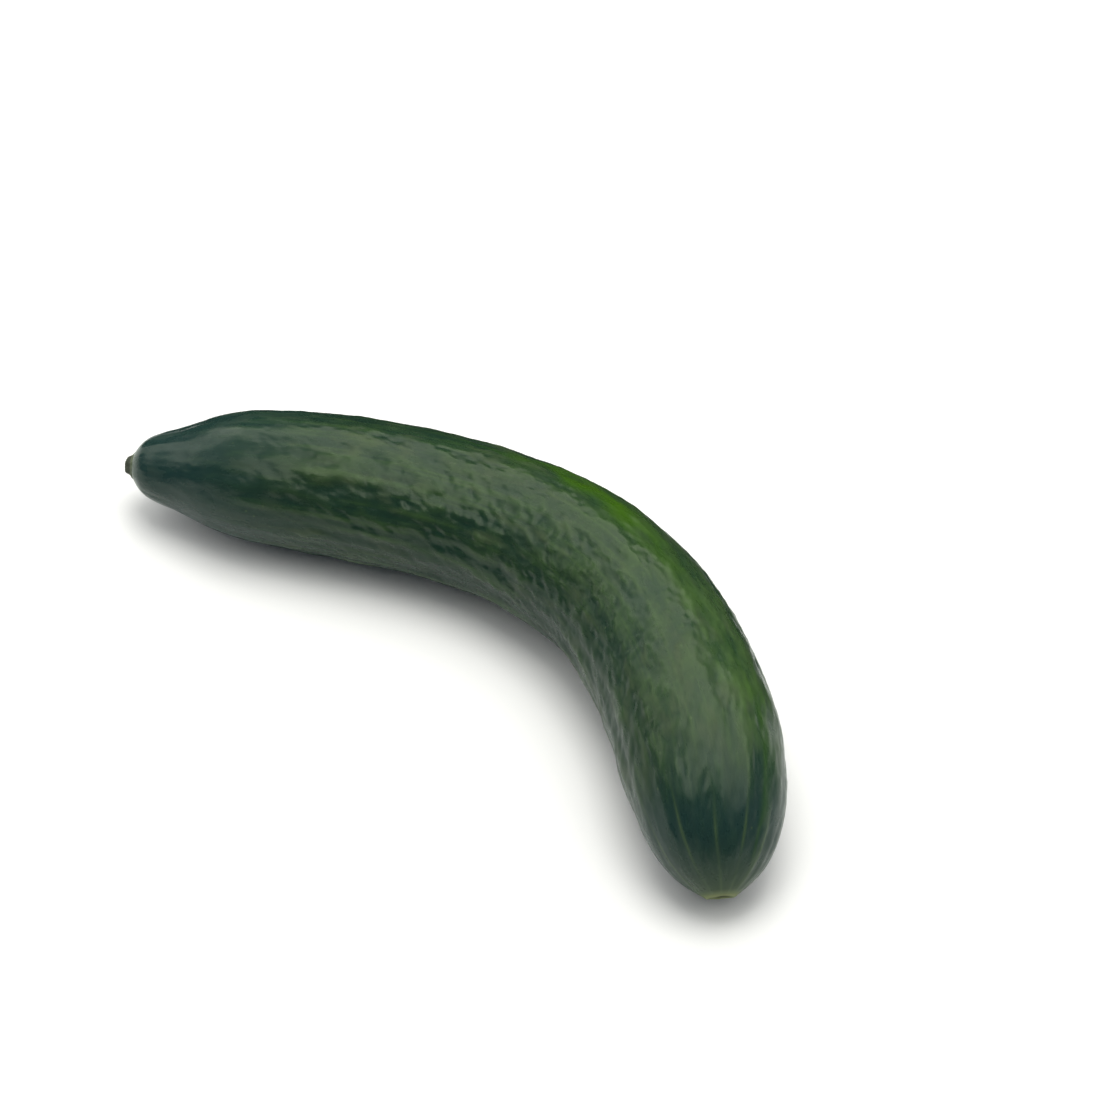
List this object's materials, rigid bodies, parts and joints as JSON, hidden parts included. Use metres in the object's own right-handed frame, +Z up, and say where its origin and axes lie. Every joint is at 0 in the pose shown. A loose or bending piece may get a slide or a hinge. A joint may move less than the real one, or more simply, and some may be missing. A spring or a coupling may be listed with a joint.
{
  "type": "cucumber",
  "caption": "Curved dark green salad cucumber lying on its side, with a cut stalk stub at its tapered end and a blossom scar at its blunt end.",
  "frame": {"origin": "on the surface that the fruit lies on, under the middle of the whole object's box", "axes": "+X from the stalk end to the blossom end, along the chord of the bend; +Y to the outside of the bend; +Z up"},
  "size_m": [0.2597, 0.0924, 0.0512],
  "materials": {
    "green_skin": "waxy dark green skin, lightly wrinkled and furrowed lengthwise, with a yellow-green streak and pale rays at the blossom end",
    "dry_stalk": "dry grey-brown cut stalk with a pale green ring at its base"
  },
  "bodies": {
    "root": {"cucumber_fruit": "green_skin", "stalk_stub": "dry_stalk"}
  },
  "joints": []
}
